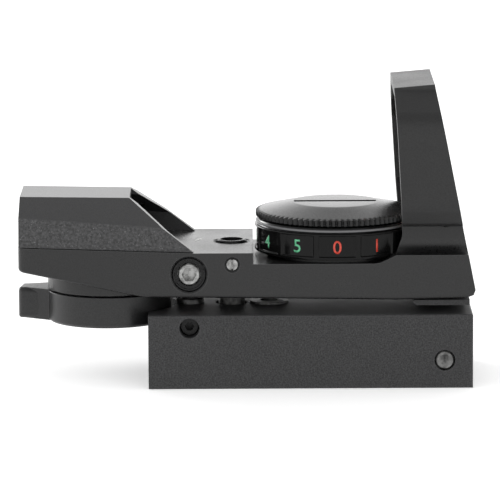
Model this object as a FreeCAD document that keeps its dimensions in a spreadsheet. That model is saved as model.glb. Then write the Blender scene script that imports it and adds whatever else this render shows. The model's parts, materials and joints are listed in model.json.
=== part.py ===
import FreeCAD, Part
import math
import os
import re

import Sketcher

# Red dot finder: a reflex sight on a rail clamp. All sizes are millimetres.
# Frame: origin at the middle of the mounting block's underside, +X towards the lens window
# (the way the finder looks), +Z up, +Y to the side where the clamp bolts are turned.

DOC = FreeCAD.newDocument("red_dot_finder")
SHEET = DOC.addObject("Spreadsheet::Sheet", "dims")

# Driving dimensions. Names ending in _x, _y or _z are places, _r is a radius.
DIMENSIONS = {
    # mounting block and the rail channel in its underside
    "block_length": 57.9,
    "block_half": 14.0,
    "block_top": 13.3,
    "rail_half": 10.6,
    "rail_neck": 7.85,
    "rail_tip_z": 0.7,
    "rail_seat_z": 6.2,
    "wall_y": 7.6,
    "shelf_z": 8.1,
    "notch_r": 12.2,
    # clamp bar and its two bolts, four rail slots apart
    "bar_face_y": 7.9,
    "bar_top": 7.8,
    "bar_rear_x": -26.5,
    "bar_front_x": 28.4,
    "slot_pitch": 10.01,
    "bolt_z": 5.0,
    "bolt_r": 1.75,
    "bolt_head_r": 3.6,
    "bolt_head": 2.6,
    # swivel at the front: kingpin for windage, cross pin for elevation
    "pivot_x": 23.92,
    "pin_z": 18.9,
    "pin_r": 1.0,
    "kingpin_r": 2.0,
    "plate_rear_x": 18.35,
    "plate_front_x": 28.4,
    "swivel_low": 13.4,
    "plate_low": 14.7,
    "plate_high": 15.65,
    # adjusters
    "post_x": -21.6,
    "post_r": 2.5,
    "windage_z": 20.62,
    "lock_hole_z": 10.98,
    "elev_x": -14.05,
    "adjuster_r": 3.15,
    "shank_r": 1.3,
    "socket_r": 2.05,
    "lock_x": -13.91,
    "lock_z": 22.37,
    "spring_x": -7.35,
    "spring_r": 2.4,
    # sight body
    "body_half": 13.75,
    "body_left_x": -52.0,
    "left_low_z": 21.25,
    "left_high_z": 25.55,
    "seam_x": -20.85,
    "body_top": 24.5,
    "recess_x": -10.2,
    "recess_z": 22.5,
    "shoulder_x": 15.25,
    "shoulder_z": 24.0,
    "under_z": 16.4,
    "front_x": 29.37,
    "front_z": 17.67,
    "lean": 11.17,
    # lens hood
    "hood_rear_x": 14.95,
    "hood_rear_z": 53.6,
    "hood_front_z": 54.2,
    "hood_foot_x": 16.45,
    "window_z": 40.65,
    "window_low": 29.4,
    "window_high": 51.9,
    # rotary brightness dial and battery cap
    "knob_x": 4.65,
    "knob_r": 14.53,
    "dial_low": 23.45,
    "dial_high": 27.4,
    "collar_high": 28.9,
    "cap_r": 14.34,
    "cap_low": 29.2,
    "cap_rim": 30.3,
    "cap_top": 31.74,
    "cap_flat_r": 7.6,
    "knurl_count": 84,
    "click_count": 12,
    "click_r": 13.4,
    "click_turn": 40.0,
    "battery_r": 10.0,
    "battery_low": 24.3,
    "battery_height": 3.2,
    # reticle lever and emitter
    "disc_x": -36.22,
    "disc_r": 11.2,
    "disc_low": 10.5,
    "disc_high": 16.0,
    "lever_reach": 16.33,
    "lever_angle": 8.0,
    "reticle_step": 16.0,
    "cover_top": 33.75,
    "cover_front_x": -32.25,
    "window_x": -30.9,
    "window_r": 2.25,
    "light_z": 27.3,
    "drum_r": 4.0,
    "lead_x": -31.7,
    "lead_y": 6.5,
    "ball_r": 0.8,
}


def fill_sheet():
    for row, (alias, size) in enumerate(DIMENSIONS.items(), start=1):
        cell = "A%d" % row
        SHEET.set(cell, str(size))
        SHEET.setAlias(cell, alias)
    DOC.recompute()


def full(expression):
    """Put the sheet's name in front of every alias in an expression."""
    def qualify(word):
        return "dims." + word[0] if word[0] in DIMENSIONS else word[0]
    return re.sub(r"[a-z]\w*", qualify, str(expression))


def value(expression):
    return float(SHEET.evalExpression(full(expression)))


def bind(item, name, expression):
    item.setExpression(name, full(expression))


def new_body(label):
    body = DOC.addObject("PartDesign::Body", label)
    body.Label = label
    return body


def place(item, x="0", y="0", z="0", axis=(0, 0, 1), angle=0.0):
    item.Placement = FreeCAD.Placement(FreeCAD.Vector(), FreeCAD.Rotation(FreeCAD.Vector(*axis), angle))
    for name, expression in (("x", x), ("y", y), ("z", z)):
        bind(item, "Placement.Base." + name, expression)


def sketch(body, plane, offset="0"):
    """Empty sketch on one of the body's own origin planes. Offsets go along +Z, -Y or +X."""
    datum = next(item for item in body.Origin.OriginFeatures if item.Role == plane + "_Plane")
    profile = body.newObject("Sketcher::SketchObject", body.Name + "_sketch")
    profile.AttachmentSupport = [(datum, "")]
    profile.MapMode = "FlatFace"
    bind(profile, "AttachmentOffset.Base.z", offset)
    return profile


def pin_point(profile, geometry, vertex, u, v):
    for kind, expression in (("DistanceX", u), ("DistanceY", v)):
        rule = Sketcher.Constraint(kind, -1, 1, geometry, vertex, value(expression))
        bind(profile, "Constraints[%d]" % profile.addConstraint(rule), expression)


def polygon(profile, points):
    corners = [FreeCAD.Vector(value(u), value(v), 0) for u, v in points]
    first = profile.GeometryCount
    for start, end in zip(corners, corners[1:] + corners[:1]):
        profile.addGeometry(Part.LineSegment(start, end))
    for index, (u, v) in enumerate(points):
        before = first + (index - 1) % len(points)
        profile.addConstraint(Sketcher.Constraint("Coincident", before, 2, first + index, 1))
        pin_point(profile, first + index, 1, u, v)
    return profile


def rectangle(profile, left, right, low, high):
    return polygon(profile, [(left, low), (right, low), (right, high), (left, high)])


def circle(profile, u, v, radius):
    centre = FreeCAD.Vector(value(u), value(v), 0)
    ring = profile.addGeometry(Part.Circle(centre, FreeCAD.Vector(0, 0, 1), value(radius)))
    pin_point(profile, ring, 3, u, v)
    rule = profile.addConstraint(Sketcher.Constraint("Radius", ring, value(radius)))
    bind(profile, "Constraints[%d]" % rule, radius)
    return profile


def hexagon(profile, u, v, radius):
    points = []
    for angle in range(0, 360, 60):
        across = "%s + (%s) * cos(%d)" % (u, radius, angle)
        up = "%s + (%s) * sin(%d)" % (v, radius, angle)
        points.append((across, up))
    return polygon(profile, points)


def mirrored(points):
    """Close a half outline with its mirror image about the sketch's vertical axis."""
    return points + [("-(%s)" % u, v) for u, v in reversed(points)]


def pad(body, profile, length, midplane=False, reverse=False):
    feature = body.newObject("PartDesign::Pad", body.Name + "_pad")
    feature.Profile = profile
    bind(feature, "Length", length)
    feature.SideType = "Symmetric" if midplane else "One side"
    feature.Reversed = reverse
    return feature


def pocket(body, profile, depth=None, midplane=False, reverse=False):
    """Cut a sketch against its normal, or along it when reversed; through all when depth is None."""
    feature = body.newObject("PartDesign::Pocket", body.Name + "_pocket")
    feature.Profile = profile
    feature.SideType = "Symmetric" if midplane else "One side"
    feature.Reversed = reverse
    if depth is None:
        feature.Type = "ThroughAll"
    else:
        bind(feature, "Length", depth)
    return feature


def revolve(body, profile):
    """Turn an (r, z) sketch about the body's own Z axis."""
    feature = body.newObject("PartDesign::Revolution", body.Name + "_turned")
    feature.Profile = profile
    feature.ReferenceAxis = (profile, ["V_Axis"])
    feature.Angle = 360.0
    return feature


def dress(body, kind, size, *points):
    """Fillet or chamfer the edges that pass nearest to the given points."""
    DOC.recompute()
    base = body.Tip
    if base.Shape.isNull():
        raise RuntimeError(base.Name + " failed")
    edges = base.Shape.Edges
    names = []
    for point in points:
        spot = Part.Vertex(*[value(number) for number in point])
        gaps = [edge.distToShape(spot)[0] for edge in edges]
        names.append("Edge%d" % (gaps.index(min(gaps)) + 1))
    feature = body.newObject("PartDesign::" + kind, body.Name + "_" + kind.lower())
    feature.Base = (base, sorted(set(names)))
    bind(feature, "Radius" if kind == "Fillet" else "Size", size)
    return feature


def repeat(body, original, count):
    """Polar pattern of one cut about the body's own Z axis."""
    axis = next(item for item in body.Origin.OriginFeatures if item.Role == "Z_Axis")
    feature = body.newObject("PartDesign::PolarPattern", body.Name + "_pattern")
    feature.Originals = [original]
    feature.Axis = (axis, [""])
    feature.Angle = 360
    bind(feature, "Occurrences", count)
    body.Tip = feature
    return feature


def ring_section(inner, outer, low, height):
    """Outline of a flat ring for turning, standing on the given level."""
    high = "%s + %s" % (low, height)
    return [(inner, low), (outer, low), (outer, high), (inner, high)]


def turned(label, points, x="0", y="0", z="0", axis=(0, 0, 1), angle=0.0):
    body = new_body(label)
    revolve(body, polygon(sketch(body, "XZ"), points))
    place(body, x, y, z, axis, angle)
    return body


SIDES = (-1, 1)
ALONG_Y = {"axis": (1, 0, 0), "angle": -90.0}
AGAINST_Y = {"axis": (1, 0, 0), "angle": 90.0}


# ---------------------------------------------------------------- mounting block and clamp

def make_mount_block():
    body = new_body("mount_block")
    rear = "-block_length / 2"
    jaw = [
        ("-block_half", "0"),
        ("-rail_neck", "0"),
        ("-rail_neck", "rail_tip_z"),
        ("-rail_half", "(rail_tip_z + rail_seat_z) / 2"),
        ("-rail_neck", "rail_seat_z"),
        ("wall_y", "rail_seat_z"),
        ("wall_y", "shelf_z"),
        ("block_half", "shelf_z"),
        ("block_half", "block_top"),
        ("-block_half", "block_top"),
    ]
    pad(body, polygon(sketch(body, "YZ", rear), jaw), "block_length")
    dress(body, "Chamfer", "0.2",
          ("0", "-block_half", "block_top"), ("0", "block_half", "block_top"),
          ("0", "-block_half", "0"), ("block_length / 2", "-block_half", "block_top / 2"),
          ("block_length / 2", "block_half", "block_top - 2"), ("block_length / 2", "0", "block_top"))
    pocket(body, circle(sketch(body, "XY", "block_top + 1"), "disc_x", "0", "notch_r"))
    kingpin_hole = circle(sketch(body, "XY", "rail_seat_z - 1"), "pivot_x", "0", "kingpin_r + 0.05")
    pocket(body, kingpin_hole, reverse=True)
    kingpin_seat = circle(sketch(body, "XY", "rail_seat_z - 1"), "pivot_x", "0", "kingpin_r + 1.7")
    pocket(body, kingpin_seat, "4.3", reverse=True)
    pocket(body, circle(sketch(body, "XY", "block_top + 1"), "post_x", "0", "post_r"), "6.2")
    stud_hole = circle(sketch(body, "XY", "rail_seat_z - 1"), "elev_x", "0", "post_r + 0.55")
    pocket(body, stud_hole, reverse=True)
    stud_slot = sketch(body, "XY", "rail_seat_z - 1")
    rectangle(stud_slot, "elev_x - 3.2", "elev_x + 3.2", "-3.4", "3.4")
    pocket(body, stud_slot, "5.6", reverse=True)
    bolt_holes = sketch(body, "XZ", "7")
    circle(bolt_holes, "pivot_x", "bolt_z", "bolt_r + 0.08")
    pocket(body, bolt_holes, "8", reverse=True)
    blind_hole = sketch(body, "XZ", "7")
    circle(blind_hole, "pivot_x - 4 * slot_pitch", "bolt_z", "bolt_r + 0.08")
    pocket(body, blind_hole, "5.7", reverse=True)
    grooves = sketch(body, "XZ", "rail_neck")
    for x in ("pivot_x", "pivot_x - 4 * slot_pitch"):
        left, right = x + " - bolt_r - 0.15", x + " + bolt_r + 0.15"
        rectangle(grooves, left, right, "bolt_z", "bolt_z + bolt_r + 0.1")
    pocket(body, grooves, "rail_neck + wall_y + 0.2")
    screw_hole = circle(sketch(body, "XZ", "block_half + 1"), "post_x", "lock_hole_z", "1.75")
    pocket(body, screw_hole, "block_half + 1 - post_r + 0.5")
    dress(body, "Chamfer", "0.15", ("post_x", "-block_half", "lock_hole_z - 1.75"),
          ("pivot_x", "-block_half", "bolt_z - bolt_r - 0.08"))


def make_clamp_bar():
    body = new_body("clamp_bar")
    outline = [
        ("rail_neck", "0"),
        ("block_half", "0"),
        ("block_half", "bar_top"),
        ("bar_face_y", "bar_top"),
        ("bar_face_y", "rail_seat_z - 0.05"),
        ("rail_half", "(rail_tip_z + rail_seat_z) / 2"),
        ("rail_neck", "rail_tip_z"),
    ]
    pad(body, polygon(sketch(body, "YZ", "bar_rear_x"), outline), "bar_front_x - bar_rear_x")
    dress(body, "Fillet", "0.8", ("0", "block_half", "0"), ("bar_rear_x", "block_half", "4"),
          ("bar_front_x", "block_half", "4"))
    holes = sketch(body, "XZ", "-block_half - 1")
    circle(holes, "pivot_x", "bolt_z", "bolt_r + 0.08")
    circle(holes, "pivot_x - 4 * slot_pitch", "bolt_z", "bolt_r + 0.08")
    pocket(body, holes, "8", reverse=True)


def make_clamp_bolt(label, x, length):
    """Coin-slot bolt: local z = 0 is under the head, the shank goes to -length."""
    outline = [
        ("0", "-(%s) + 0.7" % length),
        ("1.05", "-(%s)" % length),
        ("bolt_r - 0.3", "-(%s)" % length),
        ("bolt_r", "-(%s) + 0.3" % length),
        ("bolt_r", "0"),
        ("bolt_head_r", "0"),
        ("bolt_head_r", "bolt_head - 0.4"),
        ("bolt_head_r - 0.4", "bolt_head"),
        ("0", "bolt_head"),
    ]
    body = turned(label, outline, x, "block_half", "bolt_z", **ALONG_Y)
    slot = rectangle(sketch(body, "XY", "bolt_head"), "-bolt_head_r - 1", "bolt_head_r + 1", "-0.6", "0.6")
    pocket(body, slot, "1.1")


def make_socket_screw(label, points, socket, depth, **where):
    """Turned screw with a hexagon socket in its top end, which is the outline's last point."""
    body = turned(label, points, **where)
    pocket(body, hexagon(sketch(body, "XY", points[-1][1]), "0", "0", socket), depth)


def make_clamp():
    make_clamp_bar()
    make_clamp_bolt("clamp_bolt_front", "pivot_x", "2 * block_half - 0.2")
    make_clamp_bolt("clamp_bolt_rear", "pivot_x - 4 * slot_pitch", "2 * block_half - 1.7")
    set_screw = [("0", "-9.3"), ("0.7", "-9.3"), ("1.7", "-8.3"), ("1.7", "-0.3"), ("1.5", "0"), ("0", "0")]
    make_socket_screw("windage_lock_screw", set_screw, "0.85", "2.2",
                      x="post_x", y="-block_half + 2.1", z="lock_hole_z", **AGAINST_Y)


# ---------------------------------------------------------------- swivel, post and spring

def make_swivel_plate():
    body = new_body("swivel_plate")
    outline = sketch(body, "XY", "plate_low")
    rectangle(outline, "plate_rear_x", "plate_front_x", "-body_half + 1.5", "body_half - 1.5")
    pad(body, outline, "plate_high - plate_low")
    dress(body, "Chamfer", "0.5", ("plate_rear_x", "0", "plate_low"))
    boss = circle(sketch(body, "XY", "swivel_low"), "pivot_x", "0", "4.4")
    pad(body, boss, "plate_low - swivel_low + 0.1")
    lug = sketch(body, "XY", "plate_high")
    rectangle(lug, "pivot_x - 2.9", "pivot_x + 2.9", "-4.8", "4.8")
    pad(body, lug, "pin_z + 2.5 - plate_high")
    lug_top = "pin_z + 2.5"
    dress(body, "Fillet", "2.0", ("pivot_x - 2.9", "0", lug_top), ("pivot_x + 2.9", "0", lug_top))
    pocket(body, circle(sketch(body, "XZ"), "pivot_x", "pin_z", "pin_r + 0.05"), midplane=True)
    thread = circle(sketch(body, "XY", "swivel_low - 1"), "pivot_x", "0", "kingpin_r")
    pocket(body, thread, "pin_z - pin_r - 0.8 - swivel_low + 1", reverse=True)


def make_kingpin():
    outline = [
        ("0", "7.0"),
        ("kingpin_r + 1.5", "7.0"),
        ("kingpin_r + 1.5", "9.2"),
        ("kingpin_r", "9.3"),
        ("kingpin_r", "pin_z - pin_r - 1.0"),
        ("0", "pin_z - pin_r - 1.0"),
    ]
    body = turned("kingpin", outline, x="pivot_x")
    pocket(body, hexagon(sketch(body, "XY", "7"), "0", "0", "1.2"), "1.3", reverse=True)


def make_pins_and_post():
    pin = [
        ("0", "-10"),
        ("pin_r", "-10"),
        ("pin_r", "body_half - 1.2"),
        ("pin_r - 0.2", "body_half - 1"),
        ("0", "body_half - 1"),
    ]
    turned("pitch_pin", pin, x="pivot_x", z="pin_z", **ALONG_Y)
    post = [
        ("0", "block_top - 5.2"),
        ("post_r", "block_top - 5.2"),
        ("post_r", "block_top + 0.8"),
        ("post_r - 0.2", "block_top + 1"),
        ("1.5", "block_top + 1"),
        ("1.5", "18.0"),
        ("1.3", "18.2"),
        ("0", "18.2"),
    ]
    turned("windage_post", post, x="post_x")
    turned("spring_washer", ring_section("1.6", "3.5", "block_top", "0.4"), x="spring_x")


def coil(label, radius, wire, low, high, turns, x="0", y="0"):
    """Compression spring about a vertical axis, from the spring's low end to its high end."""
    body = new_body(label)
    profile = circle(sketch(body, "XZ"), radius, "0", wire)
    feature = body.newObject("PartDesign::AdditiveHelix", label + "_helix")
    feature.Profile = profile
    feature.ReferenceAxis = (profile, ["V_Axis"])
    feature.Mode = "height-turns-growth"
    bind(feature, "Height", "(%s) - (%s) - 2 * (%s)" % (high, low, wire))
    bind(feature, "Turns", turns)
    place(body, x, y, "(%s) + (%s)" % (low, wire))


# ---------------------------------------------------------------- adjusting screws and nuts

def make_elevation_adjuster():
    stud = new_body("elevation_stud")
    head = rectangle(sketch(stud, "XY", "8.4"), "elev_x - 2.8", "elev_x + 2.8", "-2.7", "2.7")
    pad(stud, head, "1.9")
    pad(stud, circle(sketch(stud, "XY", "10.2"), "elev_x", "0", "post_r - 0.1"), "9.0")
    pocket(stud, circle(sketch(stud, "XY", "20"), "elev_x", "0", "shank_r + 0.05"), "9.5")
    screw = [
        ("0", "12.2"),
        ("shank_r - 0.3", "12.2"),
        ("shank_r", "12.5"),
        ("shank_r", "21.35"),
        ("2.6", "21.35"),
        ("2.6", "22.5"),
        ("socket_r - 0.1", "22.5"),
        ("socket_r - 0.1", "24.1"),
        ("socket_r - 0.25", "24.25"),
        ("0", "24.25"),
    ]
    make_socket_screw("elevation_screw", screw, "1.15", "1.8", x="elev_x")
    ring = [
        ("socket_r", "22.55"),
        ("adjuster_r - 0.05", "22.55"),
        ("adjuster_r - 0.05", "24.0"),
        ("2.6", "24.0"),
        ("2.6", "24.65"),
        ("2.4", "body_top + 0.35"),
        ("socket_r", "body_top + 0.35"),
    ]
    turned("elevation_ring", ring, x="elev_x")
    lock = [
        ("0", "-10.2"),
        ("0.4", "-10.2"),
        ("0.8", "-9.8"),
        ("0.8", "-0.5"),
        ("1.02", "-0.3"),
        ("1.02", "0"),
        ("0", "0"),
    ]
    lock_screw = turned("elevation_lock_screw", lock, "lock_x", "-body_half + 0.3", "lock_z", **AGAINST_Y)
    slot = rectangle(sketch(lock_screw, "XY", "0"), "-0.17", "0.17", "-1.2", "1.2")
    pocket(lock_screw, slot, "0.5")


def make_windage_adjuster():
    nut = new_body("windage_nut")
    block = rectangle(sketch(nut, "XY", "17"), "post_x - 3", "post_x + 3", "-3.6", "3.6")
    pad(nut, block, "5.9")
    pad(nut, circle(sketch(nut, "XY", "15.05"), "post_x", "0", "post_r + 0.3"), "2")
    pocket(nut, circle(sketch(nut, "XY", "15"), "post_x", "0", "1.58"), "4.1", reverse=True)
    pocket(nut, circle(sketch(nut, "XZ"), "post_x", "windage_z", "shank_r + 0.05"), midplane=True)
    screw = [
        ("0", "-17.6"),
        ("shank_r - 0.3", "-17.6"),
        ("shank_r", "-17.3"),
        ("shank_r", "-2.95"),
        ("2.6", "-2.95"),
        ("2.6", "-1.8"),
        ("socket_r - 0.02", "-1.8"),
        ("socket_r - 0.02", "-0.65"),
        ("socket_r - 0.3", "-0.4"),
        ("0", "-0.4"),
    ]
    make_socket_screw("windage_screw", screw, "1.35", "1.8",
                      x="post_x", y="-body_half", z="windage_z", **AGAINST_Y)
    ring = [
        ("socket_r + 0.05", "-1.75"),
        ("adjuster_r - 0.1", "-1.75"),
        ("adjuster_r - 0.1", "-0.45"),
        ("adjuster_r - 0.3", "-0.25"),
        ("socket_r + 0.05", "-0.25"),
    ]
    body = turned("windage_ring", ring, "post_x", "-body_half", "windage_z", **AGAINST_Y)
    notch = rectangle(sketch(body, "XY", "0"), "-4", "4", "-0.35", "0.35")
    pocket(body, notch, "0.9")


# ---------------------------------------------------------------- sight body

CLICK_X = "knob_x - click_r * cos(click_turn)"
CLICK_Y = "click_r * sin(click_turn)"
FRONT_TOP_X = "front_x - (hood_front_z - front_z) * tan(lean)"
HOOD_OUTLINE = [
    ("11.2", "hood_front_z + 1"),
    ("11.2", "hood_rear_z - 0.3"),
    ("17.7", "49.0"),
    ("19.0", "45.2"),
    ("17.5", "32.8"),
    ("14.9", "29.4"),
    ("11.0", "28.7"),
    ("11.0", "shoulder_z"),
    ("body_half", "shoulder_z"),
    ("body_half", "recess_z"),
]
WINDOW_OUTLINE = [("9.9", "11.25"), ("15.5", "7.5"), ("16.6", "4.3"), ("15.2", "-6.9"), ("9.7", "-11.25")]


def window_points(grow="0", stretch="1"):
    """Window outline about its own centre, grown outwards and stretched along its height."""
    steps = [("1", "1"), ("1", "0.6"), ("1", "0"), ("1", "-0.4"), ("0.7", "-1")]
    points = []
    for (half, rise), (side, up) in zip(WINDOW_OUTLINE, steps):
        across = "%s + (%s) * %s" % (half, grow, side)
        height = "(%s + (%s) * %s) * %s" % (rise, grow, up, stretch)
        points.append((across, height))
    return mirrored(points)


def shape_hood(body):
    pad(body, polygon(sketch(body, "YZ", "12"), mirrored(HOOD_OUTLINE)), "18")
    corners = {"1.2": HOOD_OUTLINE[1], "5": HOOD_OUTLINE[2], "7": HOOD_OUTLINE[3], "3": HOOD_OUTLINE[4],
               "2.2": HOOD_OUTLINE[5], "2.6": HOOD_OUTLINE[7]}
    for radius, (half, z) in corners.items():
        dress(body, "Fillet", radius, *[("20", "%d * %s" % (side, half), z) for side in SIDES])
    silhouette = sketch(body, "XZ")
    rectangle(silhouette, "5", "40", "15", "65")
    polygon(silhouette, [
        ("hood_rear_x", "hood_rear_z"),
        (FRONT_TOP_X, "hood_front_z"),
        ("front_x - (20 - front_z) * tan(lean)", "20"),
        ("shoulder_x", "20"),
        ("shoulder_x", "shoulder_z"),
        ("hood_foot_x", "shoulder_z + 3"),
    ])
    pocket(body, silhouette, midplane=True)
    dress(body, "Fillet", "2.5", ("hood_foot_x", "0", "shoulder_z + 3"))


def shape_window(body):
    shifted = [(u, "window_z + " + v) for u, v in window_points()]
    pocket(body, polygon(sketch(body, "YZ", "0"), shifted), reverse=True)
    seat = sketch(body, "YZ")
    seat.AttachmentOffset = FreeCAD.Placement(
        FreeCAD.Vector(), FreeCAD.Rotation(FreeCAD.Vector(1, 0, 0), -value("lean")))
    bind(seat, "AttachmentOffset.Base.y", "window_z")
    bind(seat, "AttachmentOffset.Base.z", "front_x - (window_z - front_z) * tan(lean)")
    pocket(body, polygon(seat, window_points("0.8", "1 / cos(lean)")), "3.4")


def shape_body_block(body):
    outline = [
        ("body_left_x", "left_low_z"),
        ("-29.5", "under_z + 0.1"),
        ("-18", "under_z"),
        ("15", "under_z - 0.5"),
        ("27.5", "under_z - 0.25"),
        ("front_x - 0.35", "front_z - 0.95"),
        ("front_x", "front_z"),
        ("front_x - (shoulder_z - front_z) * tan(lean)", "shoulder_z"),
        ("shoulder_x", "shoulder_z"),
        ("12.2", "recess_z"),
        ("recess_x", "recess_z"),
        ("recess_x", "body_top"),
        ("seam_x", "body_top"),
        ("body_left_x", "left_high_z"),
    ]
    pad(body, polygon(sketch(body, "XZ"), outline), "2 * body_half", midplane=True)
    dress(body, "Fillet", "25", ("-29.5", "0", "under_z + 0.1"))
    dress(body, "Fillet", "4", ("12.2", "13", "recess_z"), ("12.2", "-13", "recess_z"))
    dress(body, "Fillet", "1.5", ("body_left_x", "-body_half", "23"), ("body_left_x", "body_half", "23"))
    dress(body, "Fillet", "0.7", ("body_left_x", "0", "left_low_z"))
    boss = circle(sketch(body, "XY", "disc_high + 0.4"), "disc_x", "0", "disc_r - 0.1")
    pad(body, boss, "4.8")


def hollow_body(body):
    """Every pocket and bore of the sight body, from the dial forwards and back to the lever."""
    knob_room = circle(sketch(body, "XY", "recess_z"), "knob_x", "0", "knob_r + 0.3")
    pocket(body, knob_room, "8.6", reverse=True)
    board_seat = circle(sketch(body, "XY", "recess_z"), "knob_x", "0", "12.4")
    pocket(body, board_seat, "0.2")
    cover_seat = rectangle(sketch(body, "XY", "15"), "-3.9", "17.9", "-11.4", "11.4")
    pocket(body, cover_seat, "under_z - 15 + 1.15", reverse=True)
    electronics = rectangle(sketch(body, "XY", "15"), "-3", "17", "-10.5", "10.5")
    pocket(body, electronics, "6.3", reverse=True)
    stem_hole = circle(sketch(body, "XY", "15"), "1.65", "0", "1.3")
    pocket(body, stem_hole, "8", reverse=True)
    lug_slot = rectangle(sketch(body, "XY", "15"), "pivot_x - 3.3", "pivot_x + 3.3", "-5.1", "5.1")
    pocket(body, lug_slot, "pin_z + 2.9 - 15", reverse=True)
    pin_bore = circle(sketch(body, "XZ", "10.1"), "pivot_x", "pin_z", "pin_r")
    pocket(body, pin_bore, "30")
    spring_hole = circle(sketch(body, "XY", "15"), "spring_x", "0", "spring_r + 0.75")
    pocket(body, spring_hole, "6", reverse=True)
    hollow_adjusters(body)
    hollow_emitter(body)


def hollow_adjusters(body):
    nut_room = rectangle(sketch(body, "XY", "15"), "post_x - 3.35", "post_x + 3.35", "-4.6", "4.6")
    pocket(body, nut_room, "8.3", reverse=True)
    side = "body_half + 1"
    pocket(body, circle(sketch(body, "XZ", side), "post_x", "windage_z", "adjuster_r - 0.05"), "4.0")
    pocket(body, circle(sketch(body, "XZ", side), "post_x", "windage_z", "shank_r + 0.05"), "20")
    pocket(body, circle(sketch(body, "XZ", side), "lock_x", "lock_z", "1.15"), "1.9")
    pocket(body, circle(sketch(body, "XZ", side), "lock_x", "lock_z", "0.85"), "12.2")
    top = "body_top + 1"
    pocket(body, circle(sketch(body, "XY", top), "elev_x", "0", "adjuster_r"), "4.2")
    pocket(body, circle(sketch(body, "XY", top), "elev_x", "0", "shank_r + 0.05"))
    pocket(body, circle(sketch(body, "XY", "15"), "elev_x", "0", "post_r - 0.02"), "5", reverse=True)
    dress(body, "Chamfer", "0.3", ("post_x", "-body_half", "windage_z - adjuster_r"),
          ("lock_x", "-body_half", "lock_z - 1.15"), ("elev_x", "-adjuster_r", "body_top"))


def hollow_emitter(body):
    pocket(body, circle(sketch(body, "XY", "27"), "disc_x", "0", "9.3"), "5")
    pocket(body, circle(sketch(body, "XY", "27"), "disc_x", "0", "2.05"))
    for side in SIDES:
        y = "%d * 8" % side
        pocket(body, circle(sketch(body, "XY", "27"), "body_left_x + 2.9", y, "1.05"))
        pocket(body, circle(sketch(body, "XY", "15"), "body_left_x + 2.9", y, "1.9"), "7.2", reverse=True)
    lead_hole = circle(sketch(body, "YZ", "lead_x - 0.8"), "lead_y", "20.75", "0.75")
    pocket(body, lead_hole, "-2.5 - lead_x + 0.8", reverse=True)
    pocket(body, circle(sketch(body, "XY", "27"), "lead_x", "lead_y", "0.75"), "7")
    lever_click = circle(sketch(body, "XY", "15"), "disc_x", "8", "0.85")
    pocket(body, lever_click, "5.5", reverse=True)
    dial_click = circle(sketch(body, "XY", "recess_z"), CLICK_X, CLICK_Y, "0.85")
    pocket(body, dial_click, "4.5")


def make_main_housing():
    body = new_body("main_housing")
    shape_hood(body)
    shape_window(body)
    shape_body_block(body)
    hollow_body(body)


def loft(body, kind, front, rear):
    feature = body.newObject("PartDesign::" + kind, body.Name + "_loft")
    feature.Profile = front
    feature.Sections = [rear]
    return feature


def cover_section(base, base_z, waist, waist_z, top, top_z):
    return mirrored([(base, base_z), (waist, waist_z), (top, top_z)])


def make_emitter_cover():
    body = new_body("emitter_cover")
    rear = sketch(body, "YZ", "body_left_x + 0.1")
    polygon(rear, cover_section("13.3", "left_high_z", "12.4", "30.8", "6.7", "cover_top"))
    front = sketch(body, "YZ", "seam_x")
    polygon(front, cover_section("13.0", "body_top", "12.1", "28.4", "6.3", "cover_top - 0.5"))
    loft(body, "AdditiveLoft", rear, front)
    mouth_cut = sketch(body, "XZ")
    polygon(mouth_cut, [
        ("cover_front_x", "cover_top - 0.35"),
        ("seam_x", "body_top + 0.05"),
        ("-10", "body_top"),
        ("-10", "40"),
        ("cover_front_x", "40"),
    ])
    pocket(body, mouth_cut, midplane=True)
    hollow_cover(body)
    for side in SIDES:
        hole = circle(sketch(body, "XY", "20"), "body_left_x + 2.9", "%d * 8" % side, "1.0")
        pocket(body, hole, "10.1", reverse=True)


def hollow_cover(body):
    """Room for the emitter and its drum, a wall with the window's seat, and the open mouth."""
    room = [cover_sketch(body, "-46", "11.0", "10.6", "29.2", "5.6", "32.3"),
            cover_sketch(body, "-33.7", "11.0", "10.6", "28.95", "5.4", "32.0")]
    loft(body, "SubtractiveLoft", *room)
    drum_room = rectangle(sketch(body, "YZ", "-34"), "-5.6", "5.6", "20", "29")
    pocket(body, drum_room, "2.4", reverse=True)
    mouth = [cover_sketch(body, "window_x + 0.5", "11.7", "11.2", "28.35", "5.5", "32.1"),
             cover_sketch(body, "-18", "11.6", "11.1", "27.3", "5.3", "31.6")]
    loft(body, "SubtractiveLoft", *mouth)
    throat = polygon(sketch(body, "YZ", "-32.3"), mirrored([("8.7", "30"), ("5.3", "32.3"), ("5.3", "35")]))
    pocket(body, throat, "2.6", reverse=True)
    pocket(body, circle(sketch(body, "YZ", "-33"), "0", "light_z", "1.2"), "4", reverse=True)
    seat = circle(sketch(body, "YZ", "window_x"), "0", "light_z", "window_r + 0.05")
    pocket(body, seat, "2", reverse=True)


def cover_sketch(body, x, base, waist, waist_z, top, top_z):
    return polygon(sketch(body, "YZ", x), cover_section(base, "20", waist, waist_z, top, top_z))


def make_lens():
    lens = new_body("lens_glass")
    pad(lens, polygon(sketch(lens, "XY"), window_points("0.7", "1 / cos(lean)")), "2.8")
    gasket = new_body("lens_gasket")
    ring = sketch(gasket, "XY")
    polygon(ring, window_points("0.75", "1 / cos(lean)"))
    polygon(ring, window_points("0.05", "1 / cos(lean)"))
    pad(gasket, ring, "0.45")
    for item, depth in ((lens, 3.4), (gasket, 0.55)):
        lean_back(item, depth)


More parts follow.
